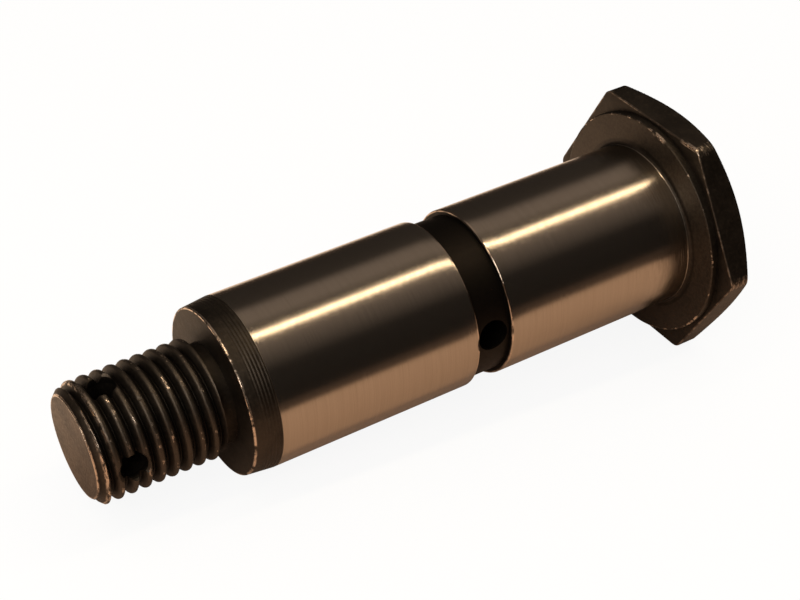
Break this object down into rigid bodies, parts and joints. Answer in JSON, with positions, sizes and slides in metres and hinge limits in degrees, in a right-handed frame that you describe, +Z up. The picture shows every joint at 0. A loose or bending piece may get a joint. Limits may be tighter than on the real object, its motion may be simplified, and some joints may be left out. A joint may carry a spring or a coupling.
{
  "type": "turned pivot pin",
  "caption": "Hex-headed turned pivot pin with ground bearing journals, a grease groove and hole, and a threaded end cross-drilled for split pins.",
  "frame": {"origin": "middle of the grease groove, on the pin's axis", "axes": "+Z up as the pin lies on one flat of its head and on the outer edge of its front journal; +X towards the head, level; the pin's axis falls 4.5 degrees towards the threaded tip, which points to -X"},
  "size_m": [0.1285, 0.0532, 0.0464],
  "materials": {
    "pin_steel": "black oxide skin on the head, groove, land and thread, with the two journals ground bright"
  },
  "bodies": {
    "root": {"pivot_pin": "pin_steel"}
  },
  "joints": []
}
